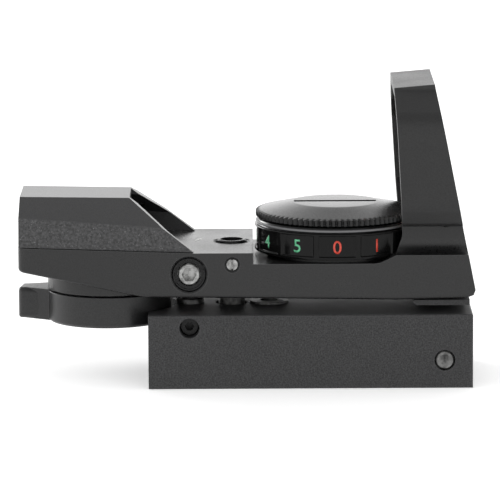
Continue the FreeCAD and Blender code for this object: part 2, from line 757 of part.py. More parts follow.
def lean_back(item, depth):
    """Set a plate of the window's outline into the hood's front, its rear face this deep."""
    lean = value("lean")
    item.Placement.Rotation = FreeCAD.Rotation(FreeCAD.Vector(0, 1, 0), 90 - lean) * FreeCAD.Rotation(
        FreeCAD.Vector(0, 0, 1), 90)
    bind(item, "Placement.Base.x", "front_x - (window_z - front_z) * tan(lean) - %s * cos(lean)" % depth)
    bind(item, "Placement.Base.z", "window_z - %s * sin(lean)" % depth)


def make_cover_screws():
    screws = new_body("emitter_cover_screws")
    heads = sketch(screws, "XY", "20.7")
    shanks = sketch(screws, "XY", "20.7")
    sockets = sketch(screws, "XY", "20.7")
    for side in SIDES:
        circle(heads, "body_left_x + 2.9", "%d * 8" % side, "1.75")
        circle(shanks, "body_left_x + 2.9", "%d * 8" % side, "1.0")
        hexagon(sockets, "body_left_x + 2.9", "%d * 8" % side, "0.8")
    pad(screws, heads, "1.4")
    pad(screws, shanks, "8.8")
    pocket(screws, sockets, "0.7", reverse=True)


# ---------------------------------------------------------------- emitter and reticle lever

def make_emitter():
    board = new_body("emitter_board")
    pad(board, rectangle(sketch(board, "YZ", "-38.6"), "-3.2", "3.2", "24.9", "31.9"), "0.9")
    emitter = [
        ("0", "0"),
        ("1.6", "0"),
        ("1.6", "0.4"),
        ("1.3", "0.4"),
        ("1.3", "1.2"),
        ("0.9", "1.8"),
        ("0", "2.0"),
    ]
    turned("emitter_led", emitter, x="-37.7", z="light_z", axis=(0, 1, 0), angle=90.0)
    disc = ring_section("0", "window_r", "0", "0.5")
    turned("emitter_window", disc, x="window_x", z="light_z", axis=(0, 1, 0), angle=90.0)
    drum = new_body("reticle_drum")
    pad(drum, circle(sketch(drum, "XY", "23.5"), "0", "0", "drum_r + 0.3"), "0.8")
    wall = sketch(drum, "XY", "24.2")
    circle(wall, "0", "0", "drum_r")
    circle(wall, "0", "0", "drum_r - 0.5")
    pad(drum, wall, "4.3")
    back = sketch(drum, "XY", "24.3")
    polygon(back, [("0", "0"), ("12 * cos(32)", "12 * sin(32)"), ("0", "12"), ("-12", "12"), ("-12", "-12"),
                   ("0", "-12"), ("12 * cos(48)", "-12 * sin(48)")])
    pocket(drum, back, "8", reverse=True)
    for turn in (-2, -1, 0, 1):
        add_window(drum, turn)
    pocket(drum, rectangle(sketch(drum, "XY", "23"), "-1.2", "1.2", "-1.4", "1.4"), "2", reverse=True)
    place(drum, "disc_x")
    film = new_body("reticle_film")
    strip = sketch(film, "XY", "25.4")
    circle(strip, "0", "0", "drum_r + 0.15")
    circle(strip, "0", "0", "drum_r + 0.02")
    pad(film, strip, "3")
    rest = sketch(film, "XY", "24.8")
    polygon(rest, [("0", "0"), ("12 * cos(28)", "12 * sin(28)"), ("0", "12"), ("-12", "12"), ("-12", "-12"),
                   ("0", "-12"), ("12 * cos(44)", "-12 * sin(44)")])
    pocket(film, rest, "8", reverse=True)
    place(film, "disc_x")


def add_window(drum, turn):
    """One reticle hole in the drum's wall, this many lever clicks from the one in use."""
    hole = sketch(drum, "YZ", "0")
    about_drum = FreeCAD.Rotation(FreeCAD.Vector(0, 1, 0), turn * value("reticle_step"))
    hole.AttachmentOffset = FreeCAD.Placement(FreeCAD.Vector(), about_drum)
    circle(hole, "0", "light_z", "0.4")
    pocket(drum, hole, "12", reverse=True)


def make_lever():
    lever = new_body("reticle_lever")
    pad(lever, circle(sketch(lever, "XY", "disc_low"), "0", "0", "disc_r"), "disc_high - disc_low")
    dress(lever, "Chamfer", "0.4", ("0", "disc_r", "disc_low"))
    tab = sketch(lever, "XY", "disc_low + 0.1")
    polygon(tab, [("-disc_r + 2", "-4.6"), ("-disc_r - 1.2", "-3.2"), ("-lever_reach", "-3.0"),
                  ("-lever_reach", "3.0"), ("-disc_r - 1.2", "3.2"), ("-disc_r + 2", "4.6")])
    pad(lever, tab, "disc_high - disc_low - 0.1 + 0.2")
    high = "disc_high + 0.2"
    dress(lever, "Fillet", "0.5", ("-lever_reach", "0", high), ("-lever_reach", "0", "disc_low + 0.1"))
    dress(lever, "Fillet", "1.2", ("-lever_reach", "3", "13"), ("-lever_reach", "-3", "13"))
    groove = sketch(lever, "XY", "disc_high")
    circle(groove, "0", "0", "9")
    circle(groove, "0", "0", "7")
    pocket(lever, groove, "0.55")
    pocket(lever, circle(sketch(lever, "XY", "disc_high"), "0", "0", "2"), "3.7")
    pocket(lever, circle(sketch(lever, "XY", "disc_high"), "0", "0", "1.05"))
    pocket(lever, circle(sketch(lever, "XY", "disc_low"), "0", "0", "2.5"), "1.2", reverse=True)
    place(lever, "disc_x", angle=-value("lever_angle"))
    shaft = [
        ("1.0", "12.35"),
        ("2.0", "12.35"),
        ("2.0", "23.45"),
        ("0", "23.45"),
        ("0", "17"),
        ("1.0", "17"),
    ]
    body = turned("lever_shaft", shaft, x="disc_x")
    pad(body, rectangle(sketch(body, "XY", "23.4"), "-1.2", "1.2", "-1.4", "1.4"), "0.9")
    screw = [
        ("0", "10.6"),
        ("2.4", "10.6"),
        ("2.4", "11.6"),
        ("0.98", "11.7"),
        ("0.98", "16.5"),
        ("0", "16.5"),
    ]
    body = turned("lever_screw", screw, x="disc_x")
    pocket(body, hexagon(sketch(body, "XY", "10.6"), "0", "0", "0.9"), "0.7", reverse=True)
    turned("lever_wave_washer", ring_section("2.2", "5", "disc_high + 0.05", "0.3"), x="disc_x")


def make_click(label, x, y, ball_z, spring_low, spring_high):
    ball = new_body(label + "_ball")
    revolve(ball, half_disc(sketch(ball, "XZ"), "ball_r"))
    place(ball, x, y, ball_z)
    coil(label + "_spring", "0.55", "0.12", spring_low, spring_high, "6", x, y)


def half_disc(profile, radius):
    """Half circle to the right of the sketch's vertical axis, closed along that axis."""
    size = value(radius)
    origin = FreeCAD.Vector()
    whole = Part.Circle(origin, FreeCAD.Vector(0, 0, 1), size)
    arc = profile.addGeometry(Part.ArcOfCircle(whole, -math.pi / 2, math.pi / 2))
    line = profile.addGeometry(Part.LineSegment(FreeCAD.Vector(0, size, 0), FreeCAD.Vector(0, -size, 0)))
    profile.addConstraint(Sketcher.Constraint("Coincident", arc, 3, -1, 1))
    profile.addConstraint(Sketcher.Constraint("Coincident", arc, 2, line, 1))
    profile.addConstraint(Sketcher.Constraint("Coincident", arc, 1, line, 2))
    profile.addConstraint(Sketcher.Constraint("Vertical", line))
    rule = profile.addConstraint(Sketcher.Constraint("Radius", arc, size))
    bind(profile, "Constraints[%d]" % rule, radius)
    return profile


# ---------------------------------------------------------------- dial, battery and electronics

def make_dial():
    outline = [
        ("11.0", "dial_low + 0.1"),
        ("12.4", "dial_low"),
        ("knob_r - 0.3", "dial_low"),
        ("knob_r", "dial_low + 0.3"),
        ("knob_r", "dial_high - 0.3"),
        ("knob_r - 0.3", "dial_high"),
        ("knob_r - 0.36", "dial_high"),
        ("knob_r - 0.36", "collar_high"),
        ("12.4", "collar_high"),
        ("12.4", "24.4"),
        ("11.0", "24.4"),
    ]
    dial = turned("brightness_dial", outline, x="knob_x")
    flat = rectangle(sketch(dial, "XY", "dial_low"), "knob_r - 0.22", "knob_r + 1", "-2.9", "2.9")
    repeat(dial, pocket(dial, flat, "dial_high - dial_low", reverse=True), "click_count")
    track = sketch(dial, "XY", "dial_low")
    circle(track, "0", "0", "14.25")
    circle(track, "0", "0", "12.55")
    pocket(dial, track, "0.45", reverse=True)


def make_cap():
    outline = [
        ("0", "28.0"),
        ("11.0", "28.0"),
        ("11.0", "cap_low"),
        ("cap_r - 0.2", "cap_low"),
        ("cap_r", "cap_low + 0.2"),
        ("cap_r", "cap_rim"),
        ("cap_flat_r", "cap_top"),
        ("0", "cap_top"),
    ]
    cap = turned("battery_cap", outline, x="knob_x")
    slot = rectangle(sketch(cap, "XY", "cap_top"), "-cap_flat_r + 0.2", "cap_flat_r - 0.2", "-0.8", "0.8")
    pocket(cap, slot, "1.2")
    tooth = sketch(cap, "XY", "cap_low - 0.1")
    polygon(tooth, [("cap_r - 0.42", "0"), ("cap_r + 0.3", "-0.4"), ("cap_r + 0.3", "0.4")])
    repeat(cap, pocket(cap, tooth, "1.6", reverse=True), "knurl_count")


def make_battery_holder():
    hub = [
        ("0", "23.1"),
        ("10.8", "23.1"),
        ("10.8", "24.6"),
        ("12.25", "24.6"),
        ("12.25", "28.6"),
        ("11.15", "28.6"),
        ("11.15", "27.7"),
        ("10.15", "27.7"),
        ("10.15", "23.9"),
        ("0", "23.9"),
    ]
    body = turned("battery_holder", hub, x="knob_x")
    pocket(body, circle(sketch(body, "XY", "24"), "-3", "0", "1.3"))
    turned("negative_contact", ring_section("1.5", "7.5", "23.92", "0.35"), x="knob_x")
    top = "battery_low + battery_height"
    cell = [
        ("0", "battery_low"),
        ("battery_r - 1.1", "battery_low"),
        ("battery_r - 0.9", "battery_low + 0.25"),
        ("battery_r - 0.3", "battery_low + 0.3"),
        ("battery_r", "battery_low + 0.7"),
        ("battery_r", top + " - 0.2"),
        ("battery_r - 0.2", top),
        ("0", top),
    ]
    turned("button_battery", cell, x="knob_x")
    turned("positive_contact", ring_section("2", "6", top + " + 0.05", "0.43"), x="knob_x")
    turned("cap_seal", ring_section("11.35", "12.15", "28.63", "0.52"), x="knob_x")


def make_electronics():
    board = new_body("switch_board")
    disc = sketch(board, "XY", "recess_z - 0.2")
    circle(disc, "knob_x", "0", "12.35")
    circle(disc, "1.65", "0", "1.35")
    pad(board, disc, "0.8")
    wiper = new_body("switch_wiper")
    pad(wiper, rectangle(sketch(wiper, "XY", "23.13"), "11.15", "12.15", "-1.6", "1.6"), "0.33")
    place(wiper, "knob_x")
    circuit = new_body("circuit_board")
    plate = sketch(circuit, "XY", "19.9")
    rectangle(plate, "-2.7", "16.7", "-10.2", "10.2")
    circle(plate, "1.65", "0", "1.6")
    pad(circuit, plate, "1.0")
    chip = rectangle(sketch(circuit, "XY", "18.5"), "6", "11", "-2.5", "2.5")
    pad(circuit, chip, "1.5")
    parts = sketch(circuit, "XY", "19.2")
    for x in ("-1", "4", "13"):
        for side in SIDES:
            rectangle(parts, x, x + " + 1.6", "%d * 6.5 - 0.5" % side, "%d * 6.5 + 0.5" % side)
    pad(circuit, parts, "0.8")
    cover = new_body("bottom_cover")
    lid = rectangle(sketch(cover, "XY", "under_z - 0.1"), "-3.8", "17.8", "-11.3", "11.3")
    pad(cover, lid, "1.2")
    pocket(cover, circle(sketch(cover, "XY", "15"), "1.65", "0", "1.3"), "5", reverse=True)
    screw = [
        ("0", "under_z - 1.4"),
        ("2.6", "under_z - 1.4"),
        ("3.0", "under_z - 1.0"),
        ("3.0", "under_z - 0.12"),
        ("1.22", "under_z - 0.12"),
        ("1.22", "23.85"),
        ("0", "23.85"),
    ]
    body = turned("holder_screw", screw, x="1.65")
    pocket(body, hexagon(sketch(body, "XY", "under_z - 1.4"), "0", "0", "1.2"), "0.8", reverse=True)


def make_wires():
    """Two leads from the electronics room, up into the room under the emitter cover."""
    wires = new_body("emitter_leads")
    for x, z in (("lead_x - 0.35", "20.4"), ("lead_x + 0.35", "21.1")):
        pad(wires, circle(sketch(wires, "YZ", x), "lead_y", z, "0.3"), "-2.9 - (%s)" % x)
        pad(wires, circle(sketch(wires, "XY", z), x, "lead_y", "0.3"), "24.3 - " + z)


# ---------------------------------------------------------------- building and writing

def check_model():
    for item in DOC.Objects:
        bad = {"Invalid", "Error"} & set(item.State)
        if bad:
            raise RuntimeError("%s is %s" % (item.Name, bad))
        if item.TypeId in ("PartDesign::Pocket", "PartDesign::SubtractiveLoft"):
            if item.Shape.Volume > item.BaseFeature.Shape.Volume - 1e-4:
                raise RuntimeError(item.Name + " cuts nothing")


def write_parts():
    os.makedirs("parts", exist_ok=True)
    for item in DOC.Objects:
        if item.TypeId != "PartDesign::Body":
            continue
        if item.Shape.isNull() or not item.Shape.isValid():
            raise RuntimeError(item.Label + " has no valid shape")
        item.Shape.exportStep("parts/%s.step" % item.Label)
        print("%-22s %9.2f mm3, %d solid(s)" % (item.Label, item.Shape.Volume, len(item.Shape.Solids)))


fill_sheet()
make_mount_block()
make_clamp()
make_swivel_plate()
make_kingpin()
make_pins_and_post()
coil("return_spring", "spring_r", "0.28", "block_top + 0.45", "20.9", "6", "spring_x")
make_elevation_adjuster()
make_windage_adjuster()
make_main_housing()
make_emitter_cover()
make_cover_screws()
make_lens()
make_emitter()
make_lever()
make_click("lever_click", "disc_x", "8", "16.35", "17.2", "20.4")
make_click("dial_click", CLICK_X, CLICK_Y, "23.05", "18.1", "22.2")
make_dial()
make_cap()
make_battery_holder()
make_electronics()
make_wires()
DOC.recompute()
check_model()
write_parts()
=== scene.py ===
import json
import math

import bmesh
import bpy
from mathutils import Matrix, Vector


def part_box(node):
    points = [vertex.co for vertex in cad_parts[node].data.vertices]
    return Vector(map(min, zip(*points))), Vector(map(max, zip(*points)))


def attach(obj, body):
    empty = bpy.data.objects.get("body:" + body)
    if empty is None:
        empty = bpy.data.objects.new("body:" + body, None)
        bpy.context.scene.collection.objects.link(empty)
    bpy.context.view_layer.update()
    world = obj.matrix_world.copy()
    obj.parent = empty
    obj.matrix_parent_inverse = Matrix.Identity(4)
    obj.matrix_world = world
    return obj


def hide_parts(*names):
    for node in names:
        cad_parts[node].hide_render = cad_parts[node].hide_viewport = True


# Looks of the red dot finder. Lengths are metres in the CAD's frame; MM turns millimetres into them.
# X runs from the emitter to the lens, Y to the side of the clamp bolts' heads and Z up, away from the rail.
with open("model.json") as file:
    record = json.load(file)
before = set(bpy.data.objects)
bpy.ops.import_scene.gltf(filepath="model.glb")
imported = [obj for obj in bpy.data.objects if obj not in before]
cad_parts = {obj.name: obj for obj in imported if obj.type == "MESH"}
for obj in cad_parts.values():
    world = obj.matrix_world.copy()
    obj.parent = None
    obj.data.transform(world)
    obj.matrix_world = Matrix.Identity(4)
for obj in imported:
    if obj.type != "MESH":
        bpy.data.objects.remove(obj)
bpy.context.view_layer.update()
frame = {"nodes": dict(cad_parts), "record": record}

NODES = frame["nodes"]
MM = 0.001

# The camera stands on the near side, a little above the finder.
CAMERA_PLACE = Vector((-10.87, -770.83, 151.37)) * MM
CAMERA_YAW = math.radians(0.01)
CAMERA_PITCH = math.radians(9.47)
CAMERA_ROLL = math.radians(-0.29)
CAMERA_LENS = 311.2
CAMERA_SENSOR = 36.0

# The cover's waist, between its sides and its sloping shoulders, at the cover's rear and front ends.
COVER_WAIST_REAR = 30.8 * MM
COVER_WAIST_FRONT = 28.4 * MM


def centre(node):
    low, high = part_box(node)
    return (low + high) / 2


DIAL_LOW, DIAL_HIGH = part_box("brightness_dial")
CAP_LOW, CAP_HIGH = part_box("battery_cap")
COVER_LOW, COVER_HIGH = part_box("emitter_cover")
KNOB = centre("brightness_dial")
# The dial's ribs stand a little proud of the flats that bound its box.
DIAL_RADIUS = (DIAL_HIGH.x - DIAL_LOW.x) / 2 + 0.22 * MM
CAP_RADIUS = (CAP_HIGH.y - CAP_LOW.y) / 2


# ---------------------------------------------------------------- node helpers

class Shader:
    """One material's node tree, with short calls for the nodes that this scene uses."""

    def __init__(self, name):
        self.material = bpy.data.materials.new(name)
        self.material.use_nodes = True
        self.tree = self.material.node_tree
        self.surface = self.tree.nodes["Principled BSDF"]
        self.place = self.add("ShaderNodeTexCoord").outputs["Object"]

    def add(self, kind, **settings):
        node = self.tree.nodes.new(kind)
        for key, setting in settings.items():
            setattr(node, key, setting)
        return node

    def link(self, source, target):
        self.tree.links.new(source, target)

    def math(self, operation, first, second=None):
        node = self.add("ShaderNodeMath", operation=operation)
        for socket, item in zip(node.inputs, (first, second)):
            if isinstance(item, (int, float)):
                socket.default_value = item
            elif item is not None:
                self.link(item, socket)
        return node.outputs[0]

    def noise(self, size, detail=2.0, place=None):
        """Noise between 0 and 1 whose features are about this many metres wide."""
        node = self.add("ShaderNodeTexNoise")
        node.inputs["Scale"].default_value = 1 / size
        node.inputs["Detail"].default_value = detail
        self.link(place or self.place, node.inputs["Vector"])
        return node.outputs["Fac"]

    def remap(self, source, low, high, to_low, to_high):
        node = self.add("ShaderNodeMapRange")
        self.link(source, node.inputs["Value"])
        numbers = {"From Min": low, "From Max": high, "To Min": to_low, "To Max": to_high}
        for name, number in numbers.items():
            node.inputs[name].default_value = number
        return node.outputs["Result"]

    def split(self, vector):
        """The X, Y and Z outputs of a vector."""
        node = self.add("ShaderNodeSeparateXYZ")
        self.link(vector, node.inputs[0])
        return node.outputs

    def mix(self, factor, first, second):
        """First colour where the factor is 0 and second where it is 1; each is a tuple or an output."""
        node = self.add("ShaderNodeMix", data_type="RGBA")
        self.link(factor, node.inputs["Factor"])
        for name, colour in (("A", first), ("B", second)):
            socket = next(item for item in node.inputs if item.name == name and item.type == "RGBA")
            if isinstance(colour, tuple):
                socket.default_value = (*colour, 1.0)
            else:
                self.link(colour, socket)
        return next(item for item in node.outputs if item.type == "RGBA")

    def rounded(self, radius):
        """Normal that rounds edges by this radius."""
        node = self.add("ShaderNodeBevel", samples=6)
        node.inputs["Radius"].default_value = radius
        return node.outputs["Normal"]

    def edges(self, normal):
        """1 on an edge that the rounded normal turns away from the flat one, 0 on the faces."""
        flat = self.add("ShaderNodeNewGeometry").outputs["Normal"]
        dot = self.add("ShaderNodeVectorMath", operation="DOT_PRODUCT")
        self.link(normal, dot.inputs[0])
        self.link(flat, dot.inputs[1])
        return self.remap(dot.outputs["Value"], 0.995, 0.85, 0.0, 1.0)

    def bump(self, height, depth, normal=None, strength=1.0):
        node = self.add("ShaderNodeBump")
        node.inputs["Distance"].default_value = depth
        node.inputs["Strength"].default_value = strength
        self.link(height, node.inputs["Height"])
        if normal is not None:
            self.link(normal, node.inputs["Normal"])
        return node.outputs["Normal"]

    def finish(self, colour, roughness, normal=None, metallic=0.0, ior=1.5):
        """Plug everything into the surface and return the material."""
        for name, item in (("Base Color", colour), ("Roughness", roughness)):
            socket = self.surface.inputs[name]
            if isinstance(item, tuple):
                socket.default_value = (*item, 1.0)
            elif isinstance(item, float):
                socket.default_value = item
            else:
                self.link(item, socket)
        self.surface.inputs["Metallic"].default_value = metallic
        self.surface.inputs["IOR"].default_value = ior
        if normal is not None:
            self.link(normal, self.surface.inputs["Normal"])
        return self.material


def grey(level):
    """Grey with a trace of blue."""
    return (level, level, level * 1.03)


# ---------------------------------------------------------------- materials

# Heights between which the housing's surface grows rougher towards the hood.
HOOD_FOOT_LOW = 26 * MM
HOOD_FOOT_HIGH = 30 * MM
# Half width of the cover inside its walls, and where its cast outer surface begins.
CAST_SKIN_INNER = 11.8 * MM
CAST_SKIN_OUTER = 11.95 * MM
CAST_LEVEL = 0.022


def coated_metal(name, level, roughness, depth=0.012 * MM, edge_radius=0.18 * MM, ior=1.52,
                 hood_roughness=0.0):
    """Black anodised or enamelled metal: fine blasted grain, cloudy gloss, edges painted a little brighter,
    partly as wear and partly as a painted highlight.
    """
    shader = Shader(name)
    speckle = shader.noise(0.26 * MM, 3.0)
    cloud = shader.noise(9 * MM, 3.0)
    normal = shader.rounded(edge_radius)
    edge_wear_and_highlight = shader.edges(normal)
    grainy = shader.mix(shader.remap(speckle, 0.3, 0.72, 0.0, 1.0), grey(level * 0.35), grey(level * 1.8))
    # Edges painted up to a lighter grey: partly edge wear, partly a painted highlight along the rounded
    # edges.
    wear_and_highlight = shader.mix(shader.math("MULTIPLY", edge_wear_and_highlight, 0.35), grainy, grey(0.16))
    gloss = shader.math("ADD", shader.remap(cloud, 0.3, 0.7, roughness - 0.03, roughness + 0.03),
                        shader.remap(speckle, 0.3, 0.7, -0.06, 0.06))
    height = shader.split(shader.place)["Z"]
    rougher = shader.remap(height, HOOD_FOOT_LOW, HOOD_FOOT_HIGH, 0.0, hood_roughness)
    gloss = shader.math("ADD", gloss, rougher)
    return shader.finish(wear_and_highlight, gloss, shader.bump(speckle, depth, normal), ior=ior)


def cast_metal(name, level, roughness, waist):
    """The emitter cover: smooth above its waist line and a rough casting below it, with painted glints on the
    rough part.
    """
    shader = Shader(name)
    place = shader.split(shader.place)
    height_at_zero, slope = waist
    line = shader.math("ADD", shader.math("MULTIPLY", place["X"], slope), height_at_zero)
    below = shader.math("SUBTRACT", line, place["Z"])
    half = shader.math("ABSOLUTE", place["Y"])
    outside = shader.remap(half, CAST_SKIN_INNER, CAST_SKIN_OUTER, 0.0, 1.0)
    rough = shader.math("MULTIPLY", outside, shader.remap(below, -0.1 * MM, 0.15 * MM, 0.0, 1.0))
    coarse = shader.noise(0.42 * MM, 6.0)
    speckle = shader.noise(0.15 * MM, 3.0)
    # Painted glints: small bright flecks mixed into the rough casting's colour.
    glint_mask = shader.remap(shader.noise(0.2 * MM, 1.0), 0.66, 0.74, 0.0, 1.0)
    normal = shader.rounded(0.12 * MM)
    smooth_tone = shader.mix(shader.remap(speckle, 0.3, 0.72, 0.0, 1.0), grey(level * 0.5), grey(level * 1.6))
    patchy = shader.remap(coarse, 0.35, 0.65, 0.0, 1.0)
    rough_tone = shader.mix(patchy, grey(CAST_LEVEL * 0.25), grey(CAST_LEVEL * 1.9))
    tone = shader.mix(rough, smooth_tone, rough_tone)
    painted_glints = shader.math("MULTIPLY", glint_mask, shader.math("MULTIPLY", rough, 0.5))
    glinted_tone = shader.mix(painted_glints, tone, grey(0.25))
    # Edges painted lighter, partly as wear and partly as a painted highlight.
    wear_and_highlight = shader.mix(shader.math("MULTIPLY", shader.edges(normal), 0.35), glinted_tone, grey(0.2))
    gloss = shader.math("ADD", shader.math("MULTIPLY", rough, 0.08),
                        shader.remap(speckle, 0.3, 0.7, roughness - 0.05, roughness + 0.05))
    height = shader.math("ADD", shader.math("MULTIPLY", speckle, 0.12),
                         shader.math("MULTIPLY", coarse, rough))
    return shader.finish(wear_and_highlight, gloss, shader.bump(height, 0.045 * MM, normal))


def turned_metal(name, level, roughness, axis_place, ior=1.5):
    """Turned metal: fine rings about a vertical axis through the given place."""
    shader = Shader(name)
    offset = shader.add("ShaderNodeVectorMath", operation="SUBTRACT")
    offset.inputs[1].default_value = axis_place
    shader.link(shader.place, offset.inputs[0])
    from_axis = shader.split(offset.outputs[0])
    flat = shader.add("ShaderNodeCombineXYZ")
    shader.link(from_axis["X"], flat.inputs["X"])
    shader.link(from_axis["Y"], flat.inputs["Y"])
    radius = shader.add("ShaderNodeVectorMath", operation="LENGTH")
    shader.link(flat.outputs[0], radius.inputs[0])
    along = shader.add("ShaderNodeCombineXYZ")
    shader.link(radius.outputs["Value"], along.inputs["X"])
    rings = shader.noise(0.09 * MM, 2.0, along.outputs[0])
    speckle = shader.noise(0.13 * MM, 2.0)
    height = shader.math("ADD", rings, shader.math("MULTIPLY", speckle, 0.4))
    normal = shader.rounded(0.1 * MM)
    tone = shader.mix(shader.remap(rings, 0.3, 0.7, 0.0, 1.0), grey(level * 0.7), grey(level * 1.35))
    gloss = shader.remap(speckle, 0.3, 0.7, roughness - 0.05, roughness + 0.05)
    return shader.finish(tone, gloss, shader.bump(height, 0.003 * MM, normal), ior=ior)


def bare_steel(name, level, roughness, warmth=1.0):
    """Machined or polished steel with fine scratches and slight stains."""
    shader = Shader(name)
    speckle = shader.noise(0.12 * MM, 3.0)
    stain = shader.noise(0.9 * MM, 4.0)
    normal = shader.rounded(0.06 * MM)
    low = (level * 0.5, level * 0.5 * warmth, level * 0.49 * warmth)
    high = (level * 1.35, level * 1.35 * warmth, level * 1.33 * warmth)
    tone = shader.mix(shader.remap(stain, 0.35, 0.65, 0.0, 1.0), low, high)
    gloss = shader.remap(stain, 0.3, 0.7, roughness - 0.06, roughness + 0.08)
    return shader.finish(tone, gloss, shader.bump(speckle, 0.004 * MM, normal, 0.5), metallic=1.0)


def gloss_plastic(name, colour, roughness, ior=1.5):
    """Moulded plastic with a faint orange-peel skin and a few dust-fine specks."""
    shader = Shader(name)
    peel = shader.noise(0.7 * MM, 2.0)
    speck = shader.remap(shader.noise(0.11 * MM, 1.0), 0.68, 0.76, 0.0, 0.35)
    lighter = tuple(min(1.0, level * 2.2 + 0.03) for level in colour)
    tone = shader.mix(speck, colour, lighter)
    gloss = shader.remap(peel, 0.3, 0.7, roughness * 0.8, roughness * 1.25)
    normal = shader.rounded(0.12 * MM)
    return shader.finish(tone, gloss, shader.bump(peel, 0.012 * MM, normal), ior=ior)


def board_laminate(name):
    """Green solder mask over a faint copper pattern."""
    shader = Shader(name)
    weave = shader.add("ShaderNodeTexBrick")
    weave.inputs["Scale"].default_value = 420.0
    weave.inputs["Color1"].default_value = (0.01, 0.09, 0.035, 1)
    weave.inputs["Color2"].default_value = (0.012, 0.11, 0.045, 1)
    weave.inputs["Mortar"].default_value = (0.02, 0.16, 0.06, 1)
    shader.link(shader.place, weave.inputs["Vector"])
    speckle = shader.noise(0.2 * MM, 2.0)
    return shader.finish(weave.outputs["Color"], shader.remap(speckle, 0.3, 0.7, 0.25, 0.4),
                         shader.bump(speckle, 0.005 * MM))


def coated_lens(name):
    """Clear glass with the amber-red reflecting coat of a reflex lens."""
    shader = Shader(name)
    haze = shader.noise(6 * MM, 2.0)
    shader.surface.inputs["Transmission Weight"].default_value = 1.0
    shader.surface.inputs["Specular Tint"].default_value = (1.0, 0.45, 0.32, 1)
    shader.surface.inputs["Coat Weight"].default_value = 0.6
    shader.surface.inputs["Coat Tint"].default_value = (1.0, 0.85, 0.8, 1)
    tone = shader.mix(shader.remap(haze, 0.35, 0.65, 0.0, 1.0), (0.80, 0.93, 0.95), (0.84, 0.95, 0.96))
    return shader.finish(tone, shader.remap(haze, 0.3, 0.7, 0.0, 0.02), ior=1.62)


def painted_mark(name, colour):
    """Thin pad-printed ink, slightly uneven."""
    shader = Shader(name)
    speckle = shader.noise(0.12 * MM, 2.0)
    darker = tuple(level * 0.72 for level in colour)
    tone = shader.mix(shader.remap(speckle, 0.35, 0.65, 0.0, 1.0), darker, colour)
    return shader.finish(tone, shader.remap(speckle, 0.3, 0.7, 0.35, 0.5), shader.bump(speckle, 0.004 * MM))


def waist_line():
    """Height of the cover's waist at X = 0 and its fall along X, from the cover's own ends."""
    rear, front = COVER_LOW.x, COVER_HIGH.x
    slope = (COVER_WAIST_FRONT - COVER_WAIST_REAR) / (front - rear)
    return COVER_WAIST_REAR - slope * rear, slope


MATERIALS = {
    "anodised_block": coated_metal("anodised_block", 0.024, 0.56, depth=0.014 * MM, ior=1.4),
    "housing_metal": coated_metal("housing_metal", 0.006, 0.32, depth=0.016 * MM, ior=1.46,
                                  hood_roughness=0.1),
    "cover_metal": cast_metal("cover_metal", 0.024, 0.33, waist_line()),
    "lever_metal": coated_metal("lever_metal", 0.008, 0.36, edge_radius=0.25 * MM, ior=1.46),
    "cap_metal": turned_metal("cap_metal", 0.009, 0.26, KNOB, ior=1.36),
    # Black solder mask on the switch board: partly the board's own colour, partly painted shade that keeps
    # the gap under the dial dark.
    "board_black": gloss_plastic("board_black", (0.01, 0.011, 0.011), 0.4),
    "bolt_steel": bare_steel("bolt_steel", 0.15, 0.45),
    "polished_steel": bare_steel("polished_steel", 0.27, 0.26),
    "black_screw": coated_metal("black_screw", 0.006, 0.30, edge_radius=0.08 * MM, ior=1.3),
    "spring_steel": bare_steel("spring_steel", 0.42, 0.3),
    "brass_part": bare_steel("brass_part", 0.5, 0.35, warmth=0.72),
    "contact_brass": bare_steel("contact_brass", 0.6, 0.28, warmth=0.82),
    "cell_steel": bare_steel("cell_steel", 0.62, 0.26),
    "dial_plastic": gloss_plastic("dial_plastic", (0.004, 0.004, 0.004), 0.2, ior=1.25),
    "inner_plastic": gloss_plastic("inner_plastic", (0.012, 0.012, 0.012), 0.5),
    "board_green": board_laminate("board_green"),
    "led_resin": gloss_plastic("led_resin", (0.5, 0.06, 0.04), 0.15),
    "clear_window": gloss_plastic("clear_window", (0.06, 0.07, 0.07), 0.08),
    "coated_glass": coated_lens("coated_glass"),
    "film_black": gloss_plastic("film_black", (0.008, 0.008, 0.008), 0.35),
    "black_rubber": gloss_plastic("black_rubber", (0.011, 0.011, 0.011), 0.6),
    "lead_wire": gloss_plastic("lead_wire", (0.35, 0.03, 0.02), 0.35),
}
COLLAR_METAL = turned_metal("collar_metal", 0.11, 0.34, KNOB)
RED_INK = painted_mark("red_ink", (0.62, 0.055, 0.03))
GREEN_INK = painted_mark("green_ink", (0.11, 0.46, 0.24))
WHITE_INK = painted_mark("white_ink", (0.8, 0.8, 0.78))


def paint_cad_nodes():
    """Give each CAD piece the material that its record row names."""
    for entry in frame["record"]["subparts"]:
        node = NODES[entry["node"]]
        node.data.materials.clear()
        node.data.materials.append(MATERIALS[entry["material_slot"]])


# ---------------------------------------------------------------- mesh helpers

def mesh_piece(name, points, faces):
    mesh = bpy.data.meshes.new(name)
    mesh.from_pydata(points, [], faces)
    mesh.validate()
    piece = bpy.data.objects.new(name, mesh)
    bpy.context.scene.collection.objects.link(piece)
    return piece


def fix_normals(piece):
    shape = bmesh.new()
    shape.from_mesh(piece.data)
    bmesh.ops.remove_doubles(shape, verts=shape.verts, dist=1e-7)
    bmesh.ops.recalc_face_normals(shape, faces=shape.faces)
    shape.to_mesh(piece.data)
    shape.free()


def smooth(piece, angle=35.0):
    """Smooth shading, split at edges sharper than the angle."""
    shape = bmesh.new()
    shape.from_mesh(piece.data)
    for face in shape.faces:
        face.smooth = True
    for edge in shape.edges:
        if len(edge.link_faces) == 2 and edge.calc_face_angle() > math.radians(angle):
            edge.smooth = False
    shape.to_mesh(piece.data)
    shape.free()


